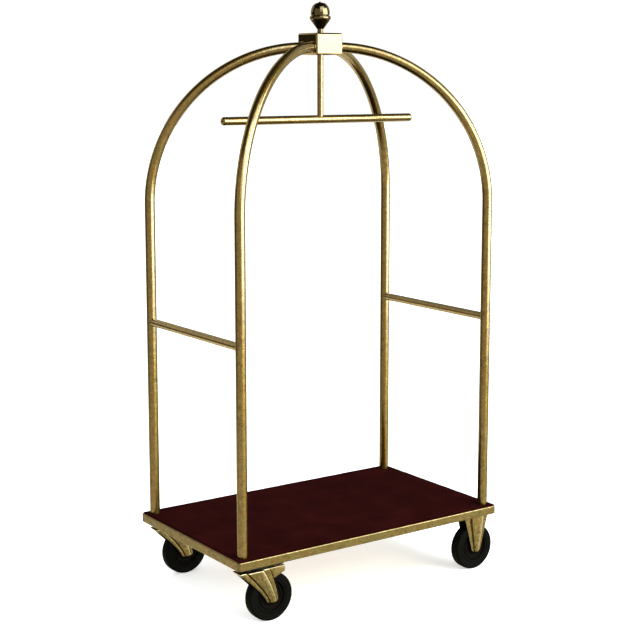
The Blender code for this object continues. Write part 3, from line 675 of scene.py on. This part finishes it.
def make_finial(look):
    """Acorn finial: stem, cup with a round rim, and a full dome with a small nub."""
    stem_low, stem_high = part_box("finial_stem")
    cup_low, cup_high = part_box("finial_cup")
    stem, seat = stem_high.x, cup_low.z + 0.004
    piece("finial_post", rod(stem, stem_low.z, seat), look["finial"], "frame", ["finial_stem"])

    rim = cup_high.x
    tall = cup_high.z - cup_low.z
    flare = [Vector((stem + 0.0008, 0)), Vector((stem + 0.0024, tall * 0.05)),
             Vector((rim * 0.93, tall * CONE_SHARE))]
    flare += smooth_line([(rim * 0.955, tall * 0.735), (rim * 0.99, tall * 0.79), (rim, tall * 0.86),
                          (rim * 0.99, tall * 0.93), (rim * 0.95, tall * 0.985), (rim * 0.92, tall)], 5)
    bowl = lathe([(0, cup_low.z)] + [(p.x, cup_low.z + p.y) for p in flare] + [(0, cup_high.z)],
                 FINIAL_SIDES)
    # The cone below the rim takes the near-black brass, which paints in its shade.
    for face in bowl.faces:
        face.material_index = int(face.calc_center_median().z < cup_low.z + tall * CONE_SHARE)
    piece("finial_bowl", bowl, [look["finial"], look["painted_shade"]], "frame", ["finial_cup"],
          sharp=50)

    cap_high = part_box("finial_cap")[1]
    dome = cap_high.x
    base, top = cup_high.z - 0.0002, cap_high.z
    shoulder, apex = base + 0.009, top - 0.0030
    line = smooth_line([(dome * 0.93, base), (dome * 0.93, base + 0.0012), (dome * 0.985, base + 0.003),
                        (dome, shoulder)], 5)
    for i in range(1, DOME_STEPS - 1):
        lift = math.pi / 2 * i / DOME_STEPS
        line.append(Vector((dome * math.cos(lift) ** 0.72,
                            shoulder + (apex - shoulder) * math.sin(lift))))
    line = [p for p in line if p.x > NUB_RADIUS]
    line += smooth_line([(NUB_RADIUS, apex - 0.0004), (NUB_RADIUS * 0.96, top - 0.0016),
                         (NUB_RADIUS * 0.7, top - 0.0004)], 4)
    piece("finial_dome", lathe([(0, base)] + [(p.x, p.y) for p in line] + [(0, top)], FINIAL_SIDES),
          look["finial"], "frame", ["finial_cap"], sharp=50)


def bar_bead(bar, tube):
    """The bead where a bar of one radius meets a tube of another at a right angle.

    The bar runs along Z from the tube, whose axis is X.
    """
    def surface(angle, step):
        spread, rise = bead_offsets(BAR_BEAD, step)
        reach = bar + spread
        sideways = reach * math.sin(angle)
        seat = math.sqrt(max(tube ** 2 - sideways ** 2, 0)) + rise - 0.0002
        return Vector((reach * math.cos(angle), sideways, seat))

    return fillet_ring(surface)


def make_side_bars(look):
    """The pipe between the uprights of each end, brazed to both."""
    for side in SIDES_X:
        low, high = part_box(f"side_bar_{side}")
        middle = (low + high) / 2
        radius = (high.z - low.z) / 2
        reach = high.y + TUBE_RADIUS * 0.5
        made = moved(rod(radius, -reach, reach), at(*middle), turn(90, "X"))
        piece(f"rail_bar_{side}", made, look["tube"], "frame", [f"side_bar_{side}"])
        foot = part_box(f"tube_plug_{side}_back")
        centre = (foot[0].y + foot[1].y) / 2
        beads = []
        for sign in SIDES_Y.values():
            bead = moved(bar_bead(radius, TUBE_RADIUS), turn(90, "Y"))
            beads.append(moved(bead, at(middle.x, sign * centre, middle.z), turn(-90 * sign, "Z")))
        piece(f"bar_beads_{side}", merged(beads), look["tube"], "frame")


def make_hanger(look):
    """Drop rod and garment bar with its two end caps."""
    rod_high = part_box("hanger_rod")[1]
    bar_low, bar_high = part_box("hanger_bar")
    drop = rod_high.x
    radius = (bar_high.z - bar_low.z) / 2
    height = (bar_high.z + bar_low.z) / 2
    piece("drop_rod", rod(drop, height, rod_high.z), look["tube"], "frame", ["hanger_rod"])
    piece("rod_bead", moved(bar_bead(drop, radius), at(0, 0, height)), look["tube"], "frame")
    reach = bar_high.x
    bar = moved(rod(radius, -reach, reach), at(0, 0, height), turn(90, "Y"))
    piece("garment_bar", bar, look["tube"], "frame", ["hanger_bar"])
    for side, sign in SIDES_X.items():
        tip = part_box(f"bar_cap_{side}")[1 if sign > 0 else 0].x
        length = abs(tip) - reach
        line = [(0, -0.002), (radius - 0.0005, -0.002), (radius - 0.0005, 0.0004), (radius, 0.0009)]
        line += [(radius * math.cos(t), length * (0.35 + 0.65 * math.sin(t)))
                 for t in [math.pi / 2 * i / CAP_STEPS for i in range(CAP_STEPS)]]
        cap = moved(lathe(line + [(0, length)], TUBE_SIDES),
                    at(sign * reach, 0, height), turn(90 * sign, "Y"))
        piece(f"bar_end_{side}", cap, look["tube"], "frame", [f"bar_cap_{side}"])


# ---- Casters --------------------------------------------------------------------------------
def curve_x(height, top, bend, foot):
    """X at a height on a quadratic curve through three (x, height) points."""
    a = top[1] - 2 * bend[1] + foot[1]
    b = 2 * (bend[1] - top[1])
    c = top[1] - height
    t = (-b - math.sqrt(max(b * b - 4 * a * c, 0))) / (2 * a)
    return (1 - t) ** 2 * top[0] + 2 * t * (1 - t) * bend[0] + t * t * foot[0]


def swivel_edges(height):
    """Left and right edges of a swivelling leg, from the kingpin's axis."""
    return curve_x(height, *SWIVEL_LEAD), curve_x(height, *SWIVEL_TRAIL)


def rigid_edges(top):
    """Edges of a rigid leg, from the wheel's centre, as a function of height."""
    def edges(height):
        rise = (height - FORK_FOOT) / (top - FORK_FOOT)
        half = RIGID_HALF_FOOT + (RIGID_HALF_TOP - RIGID_HALF_FOOT) * rise
        return RIGID_LEG_SHIFT - half, RIGID_LEG_SHIFT + half
    return edges


def make_leg(edges, top, side):
    """One leg: ribs at its two edges and a raised panel between grooves, with a rounded foot.

    Its outer face is drawn in (share of the leg's width, reach from the wheel's plane) points.
    """
    loops = []
    for step in range(LEG_STEPS + 1):
        height = FORK_FOOT + (top - FORK_FOOT) * step / LEG_STEPS
        rise = step / LEG_STEPS
        left, right = edges(height)
        low = max(FORK_FOOT + 0.005 - height, 0) / 0.005
        draw = 0.005 * (1 - math.sqrt(max(1 - low * low, 0)))
        left, right = left + draw * 0.5, right - draw
        width = right - left
        groove = 0.0018 / width
        front = PANEL_FACES[0] - 0.0026 * (1 - rise) ** 2
        ridge = PANEL_FACES[1] - 0.0036 * (1 - rise) ** 2
        rib, tail = RIB_FACES[0] - FACE_INSET, RIB_FACES[1]
        outer = [(0, rib - 0.0012), (0.0012 / width, rib), (0.215 - groove, rib + 0.0003),
                 (0.225 - groove * 0.4, rib - 0.0016), (0.225, rib - 0.0016), (0.243, front - 0.0007),
                 (0.245 + 0.0010 / width, front), (RIDGE_SHARE - 0.0015 / width, ridge),
                 (0.75, ridge - 0.0010), (0.765, tail - 0.0022), (0.765 + groove, tail - 0.0022),
                 (0.765 + groove * 1.7, tail), (1 - 0.0012 / width, tail), (1, tail - 0.0012)]
        loops.append([(left + width * part, side * reach, height)
                      for part, reach in [(0, LEG_INNER), *outer, (1, LEG_INNER)]])
    return loft(loops)


def crown_plate(starts, end, heights):
    """The plate that joins a fork's legs, with its own leading edge at each height."""
    reach = RIB_FACES[1] - FACE_INSET
    return loft([[(x, y, z) for x, y in ((start, -reach), (end, -reach), (end, reach), (start, reach))]
                 for start, z in zip(starts, heights)])


def swivel_extras():
    """The crown over the wheel, and the wings that trail behind the legs."""
    heights = CROWN_TOP - CROWN_PLATE, CROWN_TOP
    solids = [crown_plate([swivel_edges(z)[0] for z in heights], WING_END, heights)]
    for side in (-1, 1):
        seam = [(swivel_edges(z)[1] + 0.0016, z) for z in WING_SEAM]
        outline = [*seam, (WING_END, CROWN_TOP), (WING_END, 0.1510), (WING_END - 0.0030, 0.1488)]
        solids.append(loft([[(x, side * y, z) for x, z in outline] for y in (LEG_INNER, WING_FACE)]))
    return solids


def rigid_extras(edges, top):
    """The crown over the wheel."""
    left, right = edges(top - CROWN_PLATE)
    return [crown_plate([left, left], right, (top - CROWN_PLATE, top))]


def painted_shade_and_highlight(edges, top, point):
    """Painted shade (up to 1) or painted highlight (down to -1) at a point of a leg's outer face: tarnish
    with painted shade in the grooves, painted shade on the recessed right rib, painted highlights on the
    ridge, left edge and top edge.
    """
    left, right = edges(point.z)
    width = max(right - left, 0.001)
    across = point.x - left
    groove_shade = 0.0
    # tarnish and painted shade along the grooves
    for share in GROOVE_SHARES:
        groove_shade = max(groove_shade, 1 - abs(across - share * width) / PAINTED_LINE_WIDTH)
    past = across - RIDGE_SHARE * width
    # painted highlights: along the ridge (fading to the left), the leg's left edge and its top edge
    ridge = 1 - past / 0.0016 if past > 0 else 1 + past / 0.0075
    bright = max(0.75 * ridge, 1 - abs(across) / PAINTED_LINE_WIDTH, 1 - (top - point.z) / 0.0034)
    # painted shade on the recessed right rib
    rib = 0.22 if past > 0.0016 else 0.0
    return max(groove_shade, 0.0, rib) - max(bright, 0.0)


def make_fork(name, node, solids, edges, top, place, body, look):
    """A cast fork: its solids grown together into one fine skin with every edge softened.

    place holds where the fork stands and where its axle lies in it.
    """
    made = merged(solids)
    bmesh.ops.recalc_face_normals(made, faces=made.faces)
    bores = moved(rod(AXLE_BORE, -0.05, 0.05, BORE_SIDES), at(*place[1]), turn(90, "X"))
    rough = link_mesh(f"{name}_rough", made)
    cutter = link_mesh(f"{name}_bore", bores)
    grow = rough.modifiers.new("skin", "REMESH")
    grow.mode = "VOXEL"
    grow.voxel_size = FORK_VOXEL
    soft = rough.modifiers.new("soft", "SMOOTH")
    soft.factor = 0.5
    soft.iterations = 3
    bore = rough.modifiers.new("bore", "BOOLEAN")
    bore.object = cutter
    bore.operation = "DIFFERENCE"
    fewer = rough.modifiers.new("fewer", "DECIMATE")
    fewer.ratio = FORK_KEPT
    depsgraph = bpy.context.evaluated_depsgraph_get()
    mesh = bpy.data.meshes.new_from_object(rough.evaluated_get(depsgraph))
    bpy.data.objects.remove(rough)
    bpy.data.objects.remove(cutter)
    mesh.name = name
    light_and_tarnish = mesh.attributes.new("light_and_tarnish", "FLOAT", "POINT")
    # Painted shade on faces looking straight up (the crown's top under the deck, 1.0) and on the inner
    # faces (0.25); painted shade and highlights on the outer faces.
    for vertex, normal in zip(mesh.vertices, mesh.vertex_normals):
        depth = painted_shade_and_highlight(edges, top, vertex.co) if abs(vertex.co.y) > LEG_INNER + 0.0010 else 0.25
        light_and_tarnish.data[vertex.index].value = 1.0 if normal.vector.z > 0.94 else depth
    mesh.transform(at(*place[0]))
    mesh.materials.clear()
    finish_mesh(mesh, [look["cast"]], 60)
    fork = link(name, mesh)
    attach(fork, body)
    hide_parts(node)


def make_wheel(corner, body, look):
    """Solid tyre with a stepped sidewall on a dished black core with raised rings."""
    low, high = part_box(f"tyre_{corner}")
    centre = (low + high) / 2
    half, radius = (high.y - low.y) / 2, WHEEL_RADIUS
    side = smooth_line([
        (TYRE_BORE, half - 0.0016), (TYRE_BORE + 0.0012, half - 0.0006),
        (TYRE_BORE + 0.004, half - 0.0004), (radius - 0.013, half - 0.0001),
        (radius - 0.0105, half - 0.0008), (radius - 0.0085, half),
        (radius - 0.0045, half - 0.0004), (radius - 0.0018, half - 0.0022),
        (radius - 0.0004, half - 0.0052), (radius, half - 0.010)], 4)
    line = [(p.x, p.y) for p in side] + [(p.x, -p.y) for p in side[::-1]]
    tyre = moved(lathe(line, WHEEL_SIDES, ring=True), at(*centre), turn(90, "X"))
    piece(f"wheel_tyre_{corner}", tyre, look["rubber"], body, [f"tyre_{corner}"], sharp=40)
    outer = TYRE_BORE - CORE_GAP
    rings = [(HUB_BORE, half), (0.0165, half), (0.0185, half - 0.0012), (0.0200, half - 0.0062),
             (0.0215, half - 0.0078), (0.030, half - 0.0088), (0.0345, half - 0.0086),
             (0.0360, half - 0.0070), (0.0385, half - 0.0068), (0.0400, half - 0.0084),
             (0.0440, half - 0.0080), (0.0462, half - 0.0032), (0.0478, half - 0.0020),
             (outer - 0.0012, half - 0.0020), (outer, half - 0.0030)]
    rounded = smooth_line(rings, 3)
    line = [(p.x, p.y) for p in rounded] + [(p.x, -p.y) for p in rounded[::-1]]
    core = moved(lathe(line, WHEEL_SIDES, ring=True), at(*centre), turn(90, "X"))
    piece(f"wheel_disc_{corner}", core, look["core"], body, [f"wheel_core_{corner}"],
          sharp=40)
    paint(f"wheel_bush_{corner}", look["tube"])


def make_swivel_caster(side, look):
    """Plate with its bolts, bearing, kingpin, fork and wheel of a left caster."""
    low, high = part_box(f"swivel_plate_{side}")
    middle = (low + high) / 2
    paint(f"swivel_plate_{side}", look["black"])
    paint(f"kingpin_{side}", look["bright"])
    paint(f"swivel_axle_{side}", look["tube"])
    across, along = high.x - middle.x - PLATE_BOLT_INSET[0], high.y - middle.y - PLATE_BOLT_INSET[1]
    bolts = [moved(hex_bolt(*PLATE_BOLT), at(middle.x + x * across, middle.y + y * along, low.z),
                   turn(180, "X")) for x in (-1, 1) for y in (-1, 1)]
    piece(f"plate_bolts_{side}", merged(bolts), look["black"], "frame")
    race_low, race_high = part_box(f"swivel_race_{side}")
    reach = (race_high.x - race_low.x) / 2
    tall = race_high.z - race_low.z
    seat = at(middle.x, middle.y, race_low.z)
    cup = fillet([(BEARING_BORE, tall), (reach, tall), (reach, tall * 0.34),
                  (BEARING_BORE, tall * 0.34)], [0, 0.003, 0.002, 0])
    piece(f"bearing_cup_{side}", moved(lathe(cup, BEARING_SIDES, ring=True), seat),
          look["black"], "frame", [f"swivel_race_{side}"])
    # The bearing ring is black as painted shade for the dark gap under the deck.
    ring = fillet([(BEARING_BORE, tall * 0.32), (reach * 0.96, tall * 0.32), (reach * 0.93, 0),
                   (BEARING_BORE, 0)], [0, 0.0012, 0.0006, 0])
    piece(f"bearing_ring_{side}", moved(lathe(ring, BEARING_SIDES, ring=True), seat),
          look["black"], "frame")
    legs = [make_leg(swivel_edges, CROWN_TOP, way) for way in (-1, 1)]
    axle_low, axle_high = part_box(f"swivel_axle_{side}")
    trail = (axle_low.x + axle_high.x) / 2 - middle.x
    make_fork(f"fork_swivel_{side}", f"swivel_fork_{side}", legs + swivel_extras(), swivel_edges,
              CROWN_TOP, ((middle.x, middle.y, 0), (trail, 0, WHEEL_RADIUS)), f"swivel_{side}", look)
    make_wheel(f"left_{side}", f"wheel_left_{side}", look)


def make_rigid_caster(side, look):
    """Fixed fork, bolts, axle and wheel of a right caster."""
    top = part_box(f"rigid_fork_{side}")[1].z
    axle_low, axle_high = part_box(f"rigid_axle_{side}")
    middle = (axle_low + axle_high) / 2
    paint(f"rigid_axle_{side}", look["tube"])
    edges = rigid_edges(top)
    legs = [make_leg(edges, top, way) for way in (-1, 1)]
    make_fork(f"fork_rigid_{side}", f"rigid_fork_{side}", legs + rigid_extras(edges, top), edges, top,
              ((middle.x, middle.y, 0), (0, 0, WHEEL_RADIUS)), "frame", look)
    bolts = [moved(hex_bolt(*CROWN_BOLT), at(middle.x + x, middle.y, top - 0.003), turn(180, "X"))
             for x in CROWN_BOLTS_X]
    piece(f"crown_bolts_{side}", merged(bolts), look["bright"], "frame")
    make_wheel(f"right_{side}", f"wheel_right_{side}", look)


# ---- Stage ----------------------------------------------------------------------------------
FLOOR_COLOUR = (0.76, 0.80, 0.84, 1.0)
FLOOR_GLOW = 0.36
BACKDROP = 1.05                 # what the camera sees
ROOM_FILL = 1.1                 # what matt surfaces get from all round
ROOM_DARK = 0.012               # what metal mirrors between the panels
# colour: (centre and half-width in azimuth), (lowest and highest level), soft edge, strength
ROOM_PANELS = {
    (0.98, 1.0, 0.88): [
        ((33, 27), (-6, 28), 6, 9.5),           # key, to the right of the front
        ((-2, 32), (32, 52), 7, 4.5),           # overhead, in front
        ((-8, 24), (12, 32), 6, 2.0)],          # below that, left of the key
    (1.0, 0.86, 0.50): [
        ((-52, 50), (-14, 26), 12, 0.66),       # fill, round the camera
        ((102, 18), (-14, 40), 10, 0.60),       # right
        ((-182, 18), (-14, 40), 10, 0.65),      # behind
        ((-147, 11), (8, 32), 6, 0.90),         # behind on the left, for the side bars' upper faces
        ((-145, 14), (-34, -15), 5, 0.75),      # the floor there, for their lower faces
        ((-35, 105), (-36, -22), 12, 0.75),     # the floor in front
        ((150, 60), (-50, -25), 6, 1.30)],      # the floor behind
}


def make_floor():
    bpy.ops.mesh.primitive_circle_add(vertices=96, radius=40, fill_type="NGON")
    floor = bpy.context.object
    floor.name = "floor"
    floor.data.materials.append(Tree("floor").finish(
        Base_Color=FLOOR_COLOUR, Roughness=0.9, Specular_IOR_Level=0.0,
        Emission_Color=(1.0, 1.0, 1.0, 1.0), Emission_Strength=FLOOR_GLOW))
    floor.visible_glossy = False


def area_light(name, place, target, size, power):
    """A soft light that shows in no reflection: the room's panels do that."""
    data = bpy.data.lights.new(name, "AREA")
    data.shape = "DISK"
    data.size = size
    data.energy = power
    lamp = link(name, data)
    lamp.location = place
    lamp.rotation_euler = (Vector(target) - Vector(place)).to_track_quat("-Z", "Y").to_euler()
    lamp.visible_glossy = False


class Room(Nodes):
    """The studio as the metal sees it: panels of light in a dim room, by direction."""

    def __init__(self):
        world = bpy.data.worlds.new("studio")
        bpy.context.scene.world = world
        world.use_nodes = True
        super().__init__(world.node_tree)
        self.nodes.clear()
        aim = self.add("ShaderNodeTexCoord").outputs["Generated"]
        split = self.add("ShaderNodeSeparateXYZ", {0: aim}).outputs
        self.azimuth = self.math("ARCTAN2", split["X"], self.math("MULTIPLY", split["Y"], -1.0))
        self.level = self.math("ARCSINE", split["Z"])

    def inside(self, value, low, high, soft):
        """1 between two angles in degrees, fading to 0 outside them."""
        return self.math("MULTIPLY", *[
            self.add("ShaderNodeMapRange", {
                "Value": value, "From Min": math.radians(start), "From Max": math.radians(end),
            }, interpolation_type="SMOOTHSTEP").outputs["Result"]
            for start, end in ((low - soft, low), (high + soft, high))])

    def panel(self, azimuths, levels, soft, strength):
        """Light from a window of directions.  Azimuth 0 is the front (-Y), positive towards +X."""
        centre, half = azimuths
        around = self.math("SUBTRACT", self.azimuth, math.radians(centre))
        around = self.add("ShaderNodeMath", {0: around, 1: math.pi, 2: -math.pi}, operation="WRAP")
        shown = self.math("MULTIPLY", self.inside(around.outputs[0], -half, half, soft),
                          self.inside(self.level, *levels, soft))
        return self.math("MULTIPLY", shown, strength)


def make_room():
    """A white backdrop for the camera, an even fill for matt surfaces, and panels for the metal."""
    room = Room()
    path = room.add("ShaderNodeLightPath").outputs
    seen, matt = path["Is Camera Ray"], path["Is Diffuse Ray"]
    mirrored = room.math("SUBTRACT", room.math("SUBTRACT", 1.0, seen), matt)
    glows = [((1.0, 1.0, 1.0), room.math("ADD", room.math("MULTIPLY", seen, BACKDROP),
                                         room.math("MULTIPLY", matt, ROOM_FILL)))]
    for colour, panels in ROOM_PANELS.items():
        glow = ROOM_DARK
        for panel in panels:
            glow = room.math("ADD", room.panel(*panel), glow)
        glows.append((colour, room.math("MULTIPLY", mirrored, glow)))
    total = None
    for colour, glow in glows:
        light = room.add("ShaderNodeBackground", {"Color": (*colour, 1.0), "Strength": glow}).outputs[0]
        total = room.add("ShaderNodeAddShader", {0: total, 1: light}).outputs[0] if total else light
    room.add("ShaderNodeOutputWorld", {"Surface": total})


def make_camera():
    data = bpy.data.cameras.new("camera")
    data.lens = CAMERA_LENS
    data.sensor_width = 36
    data.shift_y = CAMERA_SHIFT
    camera = link("camera", data)
    camera.location = (CAMERA_REACH * math.sin(CAMERA_AZIMUTH),
                       -CAMERA_REACH * math.cos(CAMERA_AZIMUTH), CAMERA_HEIGHT)
    camera.rotation_euler = (math.pi / 2 - CAMERA_PITCH, 0, CAMERA_YAW)
    bpy.context.scene.camera = camera


# ---- Build ----------------------------------------------------------------------------------
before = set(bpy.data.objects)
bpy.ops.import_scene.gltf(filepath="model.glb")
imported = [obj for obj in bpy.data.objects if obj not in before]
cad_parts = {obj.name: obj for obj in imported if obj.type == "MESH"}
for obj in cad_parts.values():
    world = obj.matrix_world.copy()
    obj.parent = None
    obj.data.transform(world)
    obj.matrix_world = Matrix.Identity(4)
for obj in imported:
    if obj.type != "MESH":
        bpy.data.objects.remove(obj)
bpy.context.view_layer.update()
make_camera()
look = make_materials()
make_rails(look)
make_carpet(look)
make_underside(look)
make_uprights(look)
make_hub(look)
make_finial(look)
make_side_bars(look)
make_hanger(look)
for side_name in SIDES_Y:
    make_swivel_caster(side_name, look)
    make_rigid_caster(side_name, look)
make_floor()
make_room()
area_light("top_light", (1.5, -2.0, 4.5), (0, 0, 0.3), 3.5, 260)
area_light("left_light", (-4.0, -1.5, 3.0), (0, 0, 0.6), 2.5, 90)
bpy.context.scene.view_settings.view_transform = "Standard"
